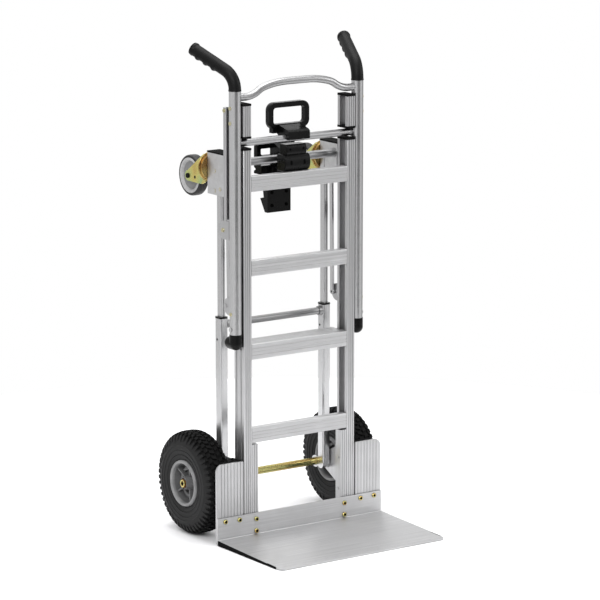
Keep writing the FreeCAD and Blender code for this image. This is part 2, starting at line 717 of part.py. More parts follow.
def yoke():
    y0 = BOX_REAR + 8.4
    crown = join([rod_y(y0, y0 + 4, CASTER_X, CASTER_Z, 37), rod_y(y0, y0 + 8, CASTER_X, CASTER_Z, 31)])
    crown = crown.cut(rod_y(y0 - 1, y0 + 20, CASTER_X, CASTER_Z, 6.08))
    axle_z = CASTER_Z - CASTER_TRAIL
    legs = []
    for side in (-1, 1):
        x0 = CASTER_X + side * YOKE_IN
        x1 = x0 + side * YOKE_THICK
        low, high = min(x0, x1), max(x0, x1)
        outline = [(y0, CASTER_Z + 31), (y0 + 12, CASTER_Z + 33), (CASTER_AXLE_Y + 8, axle_z + 11.5),
                   (CASTER_AXLE_Y + 8, axle_z - 13), (y0 + 14, CASTER_Z - 44), (y0, CASTER_Z - 36)]
        leg = prism_x(outline, low, high)
        boss = rod_x(low, high, CASTER_AXLE_Y, axle_z, 14)
        legs.append(join([leg, boss]).cut(rod_x(low - 1, high + 1, CASTER_AXLE_Y - 30, axle_z, 3.2)))
    bolt = rod_x(CASTER_X - 17, CASTER_X + 17, CASTER_AXLE_Y, axle_z, 5)
    heads = [rod_x(CASTER_X + 17, CASTER_X + 21, CASTER_AXLE_Y, axle_z, 8),
             hex_nut(CASTER_X - 22, CASTER_X - 17, CASTER_AXLE_Y, axle_z, 8.5, 0.5)]
    return join([crown] + legs + [bolt] + heads)


save("right_yoke", yoke())
save("left_yoke", flip(yoke()))

axle_z = CASTER_Z - CASTER_TRAIL
half = CASTER_HALF
bead = CASTER_CORE_R
tread_side = [(half, bead + 0.1), (half, CASTER_R - 3), (half - 3, CASTER_R)]
tread = turned_x(tread_side + [(-a, r) for a, r in reversed(tread_side)], CASTER_X, CASTER_AXLE_Y, axle_z)
core_side = [(half + 1.4, 5.06), (half + 1.4, 14), (half - 4, 17), (half - 4, bead - 7), (half, bead - 5),
             (half, bead)]
core = turned_x(core_side + [(-a, r) for a, r in reversed(core_side)], CASTER_X, CASTER_AXLE_Y, axle_z)
save("right_caster_tread", tread)
save("left_caster_tread", flip(tread))
save("right_caster_core", core)
save("left_caster_core", flip(core))
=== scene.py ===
import json
import math

import bmesh
import bpy
from mathutils import Matrix, Vector


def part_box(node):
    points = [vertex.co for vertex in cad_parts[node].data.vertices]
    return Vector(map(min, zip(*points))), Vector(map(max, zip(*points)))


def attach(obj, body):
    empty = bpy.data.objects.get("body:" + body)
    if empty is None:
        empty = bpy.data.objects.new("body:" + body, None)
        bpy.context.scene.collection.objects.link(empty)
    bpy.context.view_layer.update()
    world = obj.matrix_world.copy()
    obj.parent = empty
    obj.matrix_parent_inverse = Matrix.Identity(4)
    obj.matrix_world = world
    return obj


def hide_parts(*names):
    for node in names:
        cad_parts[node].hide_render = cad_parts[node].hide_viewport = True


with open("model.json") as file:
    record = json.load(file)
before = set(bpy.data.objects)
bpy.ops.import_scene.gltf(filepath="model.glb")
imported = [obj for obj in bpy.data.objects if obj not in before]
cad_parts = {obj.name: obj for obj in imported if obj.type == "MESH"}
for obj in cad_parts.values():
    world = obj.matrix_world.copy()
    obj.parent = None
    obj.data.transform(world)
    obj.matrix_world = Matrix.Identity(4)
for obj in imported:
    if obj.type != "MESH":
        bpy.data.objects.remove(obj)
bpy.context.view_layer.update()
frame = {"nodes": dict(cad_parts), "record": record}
NODES = frame["nodes"]
RECORD = frame["record"]
SLOT_OF = {part["node"]: part["material_slot"] for part in RECORD["subparts"]}
BODY_OF = {node: body for body, nodes in RECORD["behaviour"]["bodies"].items() for node in nodes}
JOINT_AT = {j["name"]: Vector(j["pos_m"]) for j in RECORD["behaviour"]["joints"] if "pos_m" in j}
SIDES = {"left": -1, "right": 1}
MM = 0.001


def corners(node):
    low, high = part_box(node)
    return Vector(low), Vector(high)


# ---- node materials ---------------------------------------------------------
class Graph:
    """A material's node tree, with short calls for adding and joining nodes."""

    def __init__(self, name):
        self.material = bpy.data.materials.new(name)
        self.material.use_nodes = True
        self.tree = self.material.node_tree
        self.shader = self.tree.nodes["Principled BSDF"]

    def add(self, kind, settings=None, **inputs):
        node = self.tree.nodes.new("ShaderNode" + kind)
        for key, value in (settings or {}).items():
            setattr(node, key, value)
        for key, value in inputs.items():
            self.feed(node, key.replace("_", " "), value)
        return node

    def feed(self, node, socket, value):
        if isinstance(value, bpy.types.NodeSocket):
            self.tree.links.new(value, node.inputs[socket])
        else:
            node.inputs[socket].default_value = value

    def position(self, scale):
        place = self.add("TexCoord").outputs["Object"]
        return self.add("Mapping", Vector=place, Scale=scale).outputs["Vector"]

    def noise(self, scale, size=1.0, detail=3.0, roughness=0.55):
        node = self.add("TexNoise", Vector=self.position(scale), Scale=size, Detail=detail,
                        Roughness=roughness)
        return node.outputs["Fac"]

    def ramp(self, value, stops):
        node = self.add("ValToRGB", Fac=value)
        elements = node.color_ramp.elements
        while len(elements) < len(stops):
            elements.new(0.5)
        for element, (place, colour) in zip(elements, stops):
            element.position = place
            element.color = (*colour, 1.0)
        return node.outputs["Color"]

    def span(self, value, low, high, start=0.3, end=0.7):
        node = self.add("MapRange", Value=value, From_Min=start, From_Max=end, To_Min=low, To_Max=high)
        return node.outputs["Result"]

    def mix(self, factor, a, b, blend="MIX"):
        node = self.add("Mix", {"data_type": "RGBA", "blend_type": blend})
        if isinstance(factor, bpy.types.NodeSocket):
            self.tree.links.new(factor, node.inputs[0])
        else:
            node.inputs[0].default_value = factor
        for socket, value in ((node.inputs[6], a), (node.inputs[7], b)):
            if isinstance(value, bpy.types.NodeSocket):
                self.tree.links.new(value, socket)
            else:
                socket.default_value = (*value, 1.0)
        return node.outputs[2]

    def bump(self, height, strength, distance, before=None):
        node = self.add("Bump", Height=height, Strength=strength, Distance=distance)
        if before is not None:
            self.tree.links.new(before, node.inputs["Normal"])
        return node.outputs["Normal"]

    def painted_cavity_shade(self, tone, depth, reach=0.007):
        """Paint shade into a tone inside grooves and along joints, found by ambient occlusion."""
        near = self.add("AmbientOcclusion", {"samples": 6}, Distance=reach).outputs["AO"]
        return self.mix(self.span(near, depth, 0.0, 0.35, 0.85), tone, (0.02, 0.02, 0.02))

    def finish(self, **inputs):
        for key, value in inputs.items():
            self.feed(self.shader, key.replace("_", " "), value)
        return self.material


def grey(value):
    return (value, value, value * 1.01)


def drawn_metal(name, along, shade, rough, streak=0.05, patch=0.03, line_bump=0.12, groove_shade=0.6):
    """Extruded or drawn aluminium: fine die lines along one axis, faint cloudy patches, and painted shade in
    grooves and joints.
    """
    g = Graph(name)
    fine = [1400.0, 1400.0, 1400.0]
    broad = [260.0, 260.0, 260.0]
    axis = "XYZ".index(along)
    fine[axis] = 6.0
    broad[axis] = 2.2
    lines = g.noise(fine, detail=2.0)
    bands = g.noise(broad, detail=3.0)
    cloud = g.noise((14.0, 14.0, 14.0), detail=4.0)
    tone = g.ramp(bands, [(0.28, grey(shade - streak)), (0.5, grey(shade)),
                          (0.74, grey(shade + streak * 0.7))])
    tone = g.mix(g.span(cloud, 0.0, 1.0), tone, grey(shade - patch))
    # painted shade: the tone darkens in grooves and along joints
    tone = g.painted_cavity_shade(tone, groove_shade)
    roughness = g.add("Math", {"operation": "ADD"})
    g.feed(roughness, 0, g.span(lines, rough - 0.07, rough + 0.07))
    g.feed(roughness, 1, g.span(cloud, -0.03, 0.04))
    normal = g.bump(lines, line_bump, 0.0003)
    normal = g.bump(bands, line_bump * 0.6, 0.0006, normal)
    return g.finish(Base_Color=tone, Metallic=1.0, Roughness=roughness.outputs[0], Normal=normal)


def sheet_metal(name, shade, rough):
    """Bright plated sheet: faint mottle, fine scuffs, and painted shade in grooves and joints."""
    g = Graph(name)
    mottle = g.noise((90.0, 90.0, 90.0), detail=5.0)
    scuff = g.noise((300.0, 60.0, 900.0), detail=2.0)
    tone = g.ramp(mottle, [(0.3, grey(shade - 0.06)), (0.7, grey(shade + 0.03))])
    # painted shade: the tone darkens in grooves and along joints
    tone = g.painted_cavity_shade(tone, 0.6)
    normal = g.bump(scuff, 0.1, 0.0003)
    return g.finish(Base_Color=tone, Metallic=1.0, Roughness=g.span(scuff, rough - 0.06, rough + 0.1),
                    Normal=normal)


GOLD_TINTS = [(0.60, 0.44, 0.14), (0.70, 0.62, 0.20), (0.58, 0.64, 0.24),
              (0.36, 0.56, 0.30), (0.66, 0.58, 0.20)]
AXLE_TINTS = [(0.46, 0.30, 0.10), (0.58, 0.46, 0.17), (0.40, 0.44, 0.18),
              (0.55, 0.43, 0.15), (0.42, 0.27, 0.10)]
PALE_TINTS = [(0.46, 0.40, 0.22), (0.56, 0.50, 0.30), (0.60, 0.56, 0.38),
              (0.52, 0.50, 0.30), (0.48, 0.42, 0.24)]
RACE_TINTS = [(0.34, 0.20, 0.07), (0.50, 0.34, 0.12), (0.54, 0.42, 0.16),
              (0.40, 0.26, 0.09), (0.30, 0.17, 0.07)]
BUSH_TINTS = [(0.10, 0.04, 0.02), (0.22, 0.09, 0.05), (0.28, 0.12, 0.06),
              (0.16, 0.07, 0.03), (0.09, 0.04, 0.02)]


def chromate(name, rough=0.24, scale=1.0, tints=GOLD_TINTS, pattern=(16.0, 12.0, 15.0)):
    """Chromate plating over zinc, drifting slowly between neighbouring tints."""
    g = Graph(name)
    drift = g.noise(tuple(scale * p for p in pattern), detail=2.0)
    small = g.noise((240.0, 240.0, 240.0), detail=3.0)
    tint = g.ramp(drift, [(0.32 + 0.09 * k, colour) for k, colour in enumerate(tints)])
    tint = g.mix(g.span(small, 0.0, 0.3), tint, tints[0])
    normal = g.bump(small, 0.06, 0.0003)
    return g.finish(Base_Color=tint, Metallic=1.0, Roughness=g.span(small, rough - 0.05, rough + 0.1),
                    Normal=normal)


def moulded(name, shade, rough, grain=1500.0, grain_depth=0.18, gloss=0.26):
    """Moulded plastic with a fine eroded grain and a slightly uneven gloss."""
    g = Graph(name)
    fine = g.noise((grain, grain, grain), detail=2.0)
    broad = g.noise((40.0, 40.0, 40.0), detail=3.0)
    tone = g.ramp(broad, [(0.3, grey(shade * 0.8)), (0.7, grey(shade * 1.2))])
    normal = g.bump(fine, grain_depth, 0.0002)
    return g.finish(Base_Color=tone, Roughness=g.span(broad, rough - 0.05, rough + 0.07), Normal=normal,
                    Specular_IOR_Level=gloss)


def rubber(name, shade, rough, dust=0.05, gloss=0.3):
    """Rubber: soft sheen, a little pale dust, fine pitting."""
    g = Graph(name)
    pits = g.noise((900.0, 900.0, 900.0), detail=3.0)
    cloud = g.noise((26.0, 26.0, 26.0), detail=5.0, roughness=0.65)
    dusty = shade + dust
    tone = g.ramp(cloud, [(0.35, (shade, shade, shade * 1.03)), (0.75, (dusty, dusty, dusty))])
    normal = g.bump(pits, 0.25, 0.0003)
    return g.finish(Base_Color=tone, Roughness=g.span(cloud, rough - 0.06, rough + 0.08), Normal=normal,
                    Specular_IOR_Level=gloss)


# groove_shade sets the strength of the painted shade in grooves and joints of the aluminium
MATERIAL = {
    "mill_aluminium": drawn_metal("mill_aluminium", "Z", 0.52, 0.40, streak=0.10, groove_shade=0.38),
    "brushed_aluminium": drawn_metal("brushed_aluminium", "X", 0.55, 0.47, streak=0.14, line_bump=0.22),
    "tube_aluminium": drawn_metal("tube_aluminium", "Z", 0.58, 0.28, streak=0.05),
    "bright_aluminium": drawn_metal("bright_aluminium", "X", 0.36, 0.34, streak=0.05, line_bump=0.04,
                                    groove_shade=0.35),
    "box_steel": sheet_metal("box_steel", 0.60, 0.42),
    "black_plastic": moulded("black_plastic", 0.0025, 0.27, gloss=0.14),
    "grip_rubber": rubber("grip_rubber", 0.003, 0.46, dust=0.002, gloss=0.14),
    "yellow_zinc": chromate("yellow_zinc"),
    "black_screw": moulded("black_screw", 0.003, 0.5, grain=700.0, grain_depth=0.05, gloss=0.1),
    "tyre_rubber": rubber("tyre_rubber", 0.006, 0.56, dust=0.008, gloss=0.20),
    "rim_plastic": moulded("rim_plastic", 0.13, 0.40, gloss=0.35),
    "caster_rubber": rubber("caster_rubber", 0.012, 0.5, dust=0.01),
    "caster_plastic": moulded("caster_plastic", 0.36, 0.42, gloss=0.4),
}
ACCENT = {
    "rim_lip_painted_light": moulded("rim_lip_painted_light", 0.20, 0.35, gloss=0.4),
    # tread: a darker copy of the tyre rubber, painted shade on the tread faces
    "tread": rubber("tread_rubber_painted_shade", 0.0025, 0.75, dust=0.003, gloss=0.12),
    # socket: near-black and almost without gloss, painted shade for the inside of holes, sockets and
    # recesses
    "socket": moulded("hole_shade_black", 0.002, 0.9, grain_depth=0.05, gloss=0.02),
    "flat_black": moulded("flat_black", 0.006, 0.8, gloss=0.03),
    "bush": chromate("copper_bush", 0.3, 2.0, BUSH_TINTS),
    "core_web_painted_shade": moulded("core_web_painted_shade", 0.20, 0.45, gloss=0.35),
    "race": chromate("copper_race", 0.26, 1.6, RACE_TINTS),
    "axle": chromate("axle_plating", 0.22, 1.0, AXLE_TINTS, (5.0, 90.0, 90.0)),
    "rivet": chromate("rivet_plating", 0.3, 2.0, PALE_TINTS),
}


# ---- mesh helpers -------------------------------------------------------------
def piece(name, bm, node, material=None, replaced=(), smooth=38.0, bevel=0.0, segments=2, second=None):
    """Turn a bmesh into a piece that rides with the CAD node's body."""
    bmesh.ops.remove_doubles(bm, verts=bm.verts, dist=1e-7)
    bmesh.ops.recalc_face_normals(bm, faces=bm.faces)
    mesh = bpy.data.meshes.new(name)
    bm.to_mesh(mesh)
    bm.free()
    for polygon in mesh.polygons:
        polygon.use_smooth = True
    mesh.set_sharp_from_angle(angle=math.radians(smooth))
    mesh.materials.append(material or MATERIAL[SLOT_OF[node]])
    if second:
        mesh.materials.append(second)
    obj = bpy.data.objects.new(name, mesh)
    bpy.context.scene.collection.objects.link(obj)
    if bevel:
        edge = obj.modifiers.new("edges", "BEVEL")
        edge.width = bevel
        edge.segments = segments
        edge.limit_method = "ANGLE"
        edge.angle_limit = math.radians(35)
        edge.harden_normals = True
    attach(obj, BODY_OF[node])
    if replaced:
        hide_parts(*replaced)
    return obj


AXES = {
    "X": Matrix(((0, 0, 1), (1, 0, 0), (0, 1, 0))),
    "Y": Matrix(((1, 0, 0), (0, 0, 1), (0, -1, 0))),
    "Z": Matrix.Identity(3),
}


def lathe(bm, profile, centre, axis="X", turns=96, closed=True):
    """Turn (offset along the axis, radius) points about an axis through centre."""
    turn = AXES[axis]
    rings = []
    for k in range(turns):
        a = math.tau * k / turns
        ring = []
        for offset, radius in profile:
            local = Vector((radius * math.cos(a), radius * math.sin(a), offset))
            ring.append(bm.verts.new(turn @ local + centre))
        rings.append(ring)
    count = len(profile)
    for k in range(turns):
        here, after = rings[k], rings[(k + 1) % turns]
        for i in range(count if closed else count - 1):
            j = (i + 1) % count
            bm.faces.new((here[i], here[j], after[j], after[i]))


def loft(bm, sections, cap=True, around=True):
    """Skin a list of equal point rings."""
    rings = [[bm.verts.new(p) for p in section] for section in sections]
    count = len(rings[0])
    for here, after in zip(rings, rings[1:]):
        for i in range(count if around else count - 1):
            j = (i + 1) % count
            bm.faces.new((here[i], here[j], after[j], after[i]))
    if cap:
        bm.faces.new(rings[0])
        bm.faces.new(rings[-1])


def frames_along(curve, first_normal):
    """Position, two normals and running length at each point of a curve."""
    normal = Vector(first_normal)
    run = 0.0
    result = []
    for k, point in enumerate(curve):
        before = curve[max(k - 1, 0)]
        after = curve[min(k + 1, len(curve) - 1)]
        tangent = (after - before).normalized()
        normal = (normal - tangent * normal.dot(tangent)).normalized()
        if k:
            run += (point - before).length
        result.append((point, normal, tangent.cross(normal), run))
    return result


def ring_points(point, u, v, radius, sides):
    """Closed ring about a point; radius is a number or a function of the angle."""
    pts = []
    for k in range(sides):
        a = math.tau * k / sides
        r = radius(a) if callable(radius) else radius
        pts.append(point + u * (r * math.cos(a)) + v * (r * math.sin(a)))
    return pts


def rounded_outline(half_w, half_h, radius, steps=5):
    """Rounded rectangle about the origin, as (a, b) points."""
    pts = []
    for cx, cy, start in ((1, 1, 0), (-1, 1, 90), (-1, -1, 180), (1, -1, 270)):
        for k in range(steps + 1):
            a = math.radians(start + 90 * k / steps)
            pts.append((cx * (half_w - radius) + radius * math.cos(a),
                        cy * (half_h - radius) + radius * math.sin(a)))
    return pts


# ---- main wheels ---------------------------------------------------------------
TYRE_PITCHES = 50
TYRE_CROWN = [(0.0, 127.0), (9.0, 126.8), (18.0, 125.6), (25.0, 123.0), (30.5, 118.5), (34.0, 112.0),
              (35.8, 104.0), (36.0, 96.0)]
TREAD_DEPTH = 4.4
TREAD_INNER_R = 108.0
TREAD_HALF = 31.0


def crown_point(t, lift):
    """Point on the crown at arc position t (0 the middle, 1 the sidewall), moved out by lift."""
    ends = len(TYRE_CROWN) - 1
    k = min(int(abs(t) * ends), ends - 1)
    f = abs(t) * ends - k
    (a0, r0), (a1, r1) = TYRE_CROWN[k], TYRE_CROWN[k + 1]
    a = a0 + (a1 - a0) * f
    r = r0 + (r1 - r0) * f
    length = math.hypot(a1 - a0, r1 - r0)
    out_a = -(r1 - r0) / length * lift
    out_r = (a1 - a0) / length * lift
    return math.copysign(a + out_a, t), r + out_r


def tyre(side):
    bm = bmesh.new()
    hub = JOINT_AT[side + "_wheel_spin"]
    profile = []
    for k in range(15):
        profile.append(crown_point(k / 14, -TREAD_DEPTH if k < 11 else -TREAD_DEPTH * (14 - k) / 3 * 0.5))
    profile += [(36.6, 94.5), (36.6, 93.0), (35.6, 92.0), (35.6, 84.0), (34.4, 83.0), (34.4, 81.6),
                (35.2, 80.6), (34.6, 72.5), (33.0, 71.0), (34.2, 69.0),
                (33.2, 63.5), (32.0, 59.4), (29.0, 57.9)]
    mirrored = [(-a, r) for a, r in reversed(profile)]
    lathe(bm, [(a * MM, r * MM) for a, r in profile + mirrored[:-1]], hub, turns=TYRE_PITCHES * 2)
    # Painted shade: faces across the tread take the darker tread rubber.
    for face in bm.faces:
        spot = face.calc_center_median() - hub
        if spot.yz.length > TREAD_INNER_R * MM and abs(spot.x) < TREAD_HALF * MM:
            face.material_index = 1

    # dark picks the material: 1 the darker tread rubber painted as shade, 0 the sidewall rubber.
    def block(t0, t1, angle, width, slant=0.0, steps=3, taper=0.12, dark=1):
        """Raised tread block between two crown positions."""
        base, top = [], []
        for k in range(steps + 1):
            t = t0 + (t1 - t0) * k / steps
            lean = slant * k / steps
            for ring, lift, shrink in ((base, -TREAD_DEPTH - 0.4, 0.0), (top, 0.0, taper)):
                inset = 0.01 if k == 0 else -0.01 if k == steps else 0.0
                a, r = crown_point(t + inset * (shrink > 0), lift)
                for edge in (-1, 1):
                    turn = angle + lean + edge * width * (0.5 - shrink)
                    ring.append(bm.verts.new(hub + Vector((a, r * math.cos(turn), r * math.sin(turn))) * MM))
        faces = []
        for k in range(steps):
            i = 2 * k
            faces.append((top[i], top[i + 1], top[i + 3], top[i + 2]))
            faces.append((base[i], base[i + 2], top[i + 2], top[i]))
            faces.append((base[i + 1], top[i + 1], top[i + 3], base[i + 3]))
        faces.append((base[0], top[0], top[1], base[1]))
        faces.append((base[-2], base[-1], top[-1], top[-2]))
        for corner in faces:
            bm.faces.new(corner).material_index = dark

    pitch = math.tau / TYRE_PITCHES
    for k in range(TYRE_PITCHES):
        at = k * pitch
        for edge in (-1, 1):
            shift = 0.0 if edge > 0 else pitch / 2
            reach = 0.90 if k % 2 else 0.80
            block(edge * 0.44, edge * 0.58, at + shift, pitch * 0.62, steps=2)
            block(edge * 0.58, edge * reach, at + shift, pitch * 0.60, steps=3, dark=0)
            block(edge * 0.25, edge * 0.40, at + shift + pitch * 0.35, pitch * 0.66,
                  slant=pitch * 0.25, steps=2)
            block(edge * 0.035, edge * 0.21, at + shift + pitch * 0.1, pitch * 0.6,
                  slant=-pitch * 0.3, steps=2)
    return piece(side + "_tyre_tread", bm, side + "_tyre", replaced=[side + "_tyre"], smooth=32,
                 second=ACCENT["tread"])


RIM_SPOKES = 5
LIP_INNER = 30.0
ARCH_SECTION = [(31.0, 6.0), (31.4, 15.4), (32.6, 16.2), (38.0, 16.2), (39.0, 15.4), (39.6, 6.0)]


def rim(side):
    """Rounded lips on the barrel of the wheel centre; the lips take a lighter copy of the rim plastic,
    painted light.
    """
    bm = bmesh.new()
    at = JOINT_AT[side + "_wheel_spin"]
    node = side + "_rim"
    lip = [(26.0, 57.6), (32.5, 57.6), (35.6, 56.6), (37.2, 54.4), (37.4, 52.2), (36.4, 50.2), (34.0, 48.8),
           (28.0, 48.4), (20.0, 49.6)]
    barrel = lip + [(-a, r) for a, r in reversed(lip)]
    lathe(bm, [(a * MM, r * MM) for a, r in barrel], at, turns=90)
    # Painted light: only the barrel between the lips keeps the darker rim plastic.
    for face in bm.faces:
        spot = face.calc_center_median() - at
        if abs(spot.x) < LIP_INNER * MM:
            face.material_index = 1
    piece(node + "_lips", bm, node, material=ACCENT["rim_lip_painted_light"], replaced=[node],
          second=MATERIAL["rim_plastic"])


def hub(side):
    """Wheel disc with ribs, arches between them and the boss on the axle."""
    bm = bmesh.new()
    at = JOINT_AT[side + "_wheel_spin"]
    face = [(8.0, 50.4), (6.8, 46.0), (6.8, 21.0), (8.4, 19.2), (18.0, 17.6), (21.2, 16.4), (22.0, 15.0),
            (22.0, 9.9)]
    back = [(-a if a != 22.0 else -33.5, r) for a, r in reversed(face)]
    lathe(bm, [(a * MM, r * MM) for a, r in face + back], at, turns=90)
    for out in (1, -1):
        for k in range(RIM_SPOKES):
            turn = math.tau * (k + 0.25) / RIM_SPOKES
            spin = Matrix.Rotation(turn, 3, "X")
            outline = [(15.0, 5.0, 2.6), (15.0, 20.0, 1.9), (49.4, 25.0, 1.9), (49.4, 5.0, 2.6)]
            loft(bm, [[at + spin @ Vector((out * x * MM, s * w * MM, r * MM)) for r, x, w in outline]
                      for s in (-1, 1)])
            arc = []
            half_arc = math.pi / RIM_SPOKES - 0.16
            for step in range(13):
                a = turn + math.pi / RIM_SPOKES + half_arc * (step / 6 - 1)
                ring = []
                for r, x in ARCH_SECTION:
                    ring.append(at + Vector((out * x, -r * math.sin(a), r * math.cos(a))) * MM)
                arc.append(ring)
            loft(bm, arc)
    node = side + "_hub"
    return piece(node + "_ribbed", bm, node, replaced=[node], smooth=35, bevel=0.0006)


def axle_tips():
    """Hollow ends of the axle: plated tube, with a near-black disc in the bore as painted shade."""
    low, high = corners("axle")
    y, z = (low.y + high.y) / 2, (low.z + high.z) / 2
    ring = bmesh.new()
    bore_shade = bmesh.new()
    for tip, out in ((low.x, -1), (high.x, 1)):
        at = Vector((tip, y, z))
        section = [(-9.0, 9.6), (-2.6, 9.6), (-2.2, 7.6), (0.2, 7.2), (0.4, 6.6), (0.2, 6.0), (-1.0, 5.5),
                   (-9.0, 5.2)]
        lathe(ring, [(out * a * MM, r * MM) for a, r in section], at, turns=40)
        lathe(bore_shade, [(out * 0.05 * MM, 5.7 * MM), (out * 0.05 * MM, 0.2 * MM), (-out * 1.0 * MM, 0.2 * MM),
                     (-out * 1.0 * MM, 5.7 * MM)], at, turns=32)
    piece("axle_tips", ring, "axle", material=ACCENT["axle"])
    piece("axle_bore_shade", bore_shade, "axle", material=ACCENT["socket"])


for side in SIDES:
    tyre(side)
    rim(side)
    hub(side)
axle_tips()


# ---- grips ----------------------------------------------------------------------
GRIP_BEND = 50.0
GRIP_TURN = math.radians(65.0)
GRIP_SPLAY = math.radians(19.5)
GRIP_STRAIGHT = 103.0
GRIP_R = 14.9
GRIP_RIDGES = (23.0, 48.5, 74.0)


def grip(side):
    """Sleeve with finger ridges along the underside of its straight part and a small flange at the end."""
    bm = bmesh.new()
    low, high = corners(side + "_handle_tube")
    base = Vector(((low.x + high.x) / 2, (low.y + high.y) / 2, high.z))
    sign = SIDES[side]

    def spot(back, up):
        return base + Vector((sign * back * math.sin(GRIP_SPLAY), back * math.cos(GRIP_SPLAY), up)) * MM

    curve = [spot(0.0, -3.0)]
    for k in range(25):
        a = GRIP_TURN * k / 24
        curve.append(spot(GRIP_BEND * (1 - math.cos(a)), GRIP_BEND * math.sin(a)))
    for k in range(1, 61):
        run = GRIP_STRAIGHT * k / 60
        curve.append(spot(GRIP_BEND * (1 - math.cos(GRIP_TURN)) + run * math.sin(GRIP_TURN),
                          GRIP_BEND * math.sin(GRIP_TURN) + run * math.cos(GRIP_TURN)))
    path = frames_along(curve, (sign * math.sin(GRIP_SPLAY), math.cos(GRIP_SPLAY), 0))
    total = path[-1][3] / MM
    sections = []
    for point, u, v, run in path:
        s = run / MM
        wave = sum(math.exp(-((total - s - ridge) / 5.5) ** 2) for ridge in GRIP_RIDGES)
        flange = max(0.0, 1.0 - abs(s - (total - 4.0)) / 4.0)
        mouth = max(0.0, 1.0 - s / 5.0)

        def radius(a, wave=wave, flange=flange, mouth=mouth):
            under = max(0.0, math.cos(a)) ** 0.7
            return (GRIP_R + 3.6 * under * wave + 1.8 * flange ** 0.6 + 0.8 * mouth) * MM

        sections.append(ring_points(point, u, v, radius, 40))
    tip, u, v, _ = path[-1]
    forward = (curve[-1] - curve[-2]).normalized()
    for out, r in ((1.4, 15.6), (2.4, 12.6), (2.8, 7.0), (2.8, 3.0)):
        sections.append(ring_points(tip + forward * out * MM, u, v, r * MM, 40))
    loft(bm, sections)
    return piece(side + "_grip_ribbed", bm, side + "_grip", replaced=[side + "_grip"], smooth=50)


for side in SIDES:
    grip(side)


# ---- arch bar --------------------------------------------------------------------
ARCH_R = 9.0
ARCH_POINTS = [(168, 1081), (142, 1081), (121, 1087), (97, 1100), (55, 1108.5), (0, 1110)]


def arch_bar():
    """Round tube bent in one smooth curve between the two handle tubes."""
    low, high = corners("arch_bar")
    y = (low.y + high.y) / 2
    half = [Vector((x * MM, y, z * MM)) for x, z in ARCH_POINTS]
    knots = half + [Vector((-p.x, p.y, p.z)) for p in reversed(half[:-1])]
    knots = [knots[0] * 2 - knots[1]] + knots + [knots[-1] * 2 - knots[-2]]
    curve = []
    for a, b, c, d in zip(knots, knots[1:], knots[2:], knots[3:]):
        for step in range(10):
            t = step / 10
            curve.append(0.5 * (2 * b + (c - a) * t + (2 * a - 5 * b + 4 * c - d) * t * t
                                + (3 * b - a - 3 * c + d) * t ** 3))
    curve.append(knots[-2])
    bm = bmesh.new()
    path = frames_along(curve, (0, 1, 0))
    loft(bm, [ring_points(point, u, v, ARCH_R * MM, 36) for point, u, v, _ in path])
    piece("arch_tube", bm, "arch_bar", replaced=["arch_bar"], smooth=50)


arch_bar()


# ---- latch housing, bolts and screws ----------------------------------------------
def latch_housing():
    """Round-fronted lower shell and a smaller shell on top, both with softened ends."""
    bm = bmesh.new()
    low, high = corners("latch_housing")
    lower = [(37, 0), (11, 0), (4.5, 3.5), (1.2, 11), (0, 20.5), (1.2, 30), (5, 37), (9.5, 40.5), (37, 40.5)]
    upper = [(37, 38), (9, 38), (6, 42.5), (5, 50), (5.8, 59), (9.5, 64.5), (37, 64.5)]
    reach = (high.x - low.x) / 2
    for outline, half in ((lower, reach), (upper, reach - 8 * MM)):
        loft(bm, [[Vector((x, low.y + a * MM, low.z + b * MM)) for a, b in outline] for x in (-half, half)])
    piece("latch_shell", bm, "latch_housing", replaced=["latch_housing"], smooth=30, bevel=0.0022,
          segments=3)
    # Near-black blocks set into the screw recesses: painted shade.
    recess_shade = bmesh.new()
    for x in (-19, 19):
        for y, z, half_w, half_h in ((-0.25, 21, 2.4, 5.6), (4.8, 53, 2.6, 2.6)):
            outline = rounded_outline(half_w, half_h, 2.2)
            loft(recess_shade, [[Vector((x + a, low.y / MM + y + d, low.z / MM + z + b)) * MM for a, b in outline]
                          for d in (-0.1, 3.0)])
    piece("housing_recess_shade", recess_shade, "housing_screws", material=ACCENT["socket"],
          replaced=["housing_screws"])


BOLT_SPOTS = [(131, 50.5), (131, 21.0), (180, 55.5), (221, 56.5)]
BOLT_RING = [(3.2, 5.6), (0.8, 5.6), (0, 4.9), (0, 3.5), (1.2, 3.2), (3.2, 3.2)]
BOLT_SOCKET = [(1.3, 3.4), (1.3, 0.1), (2.2, 0.1), (2.2, 3.4)]


def toe_bolts():
    """Plated bolt heads with a chamfered ring around a near-black hex disc, painted shade in the socket."""
    ring = bmesh.new()
    dark = bmesh.new()
    low, high = corners("toe_bolts")
    face = low.y
    for x, z in BOLT_SPOTS:
        for sign in (-1, 1):
            at = Vector((sign * x * MM, face, z * MM))
            lathe(ring, [(a * MM, r * MM) for a, r in BOLT_RING], at, axis="Y", turns=30)
            lathe(dark, [(a * MM, r * MM) for a, r in BOLT_SOCKET], at, axis="Y", turns=6)
    piece("toe_bolt_heads", ring, "toe_bolts", material=ACCENT["axle"], replaced=["toe_bolts"])
    piece("toe_bolt_socket_shade", dark, "toe_bolts", material=ACCENT["socket"])


latch_housing()
toe_bolts()


TRIM_SETBACK = 20.0
TRIM_FRONT_TOP = 4.7
TRIM_REAR_TOP = 12.9
TRIM_PROUD = 0.6


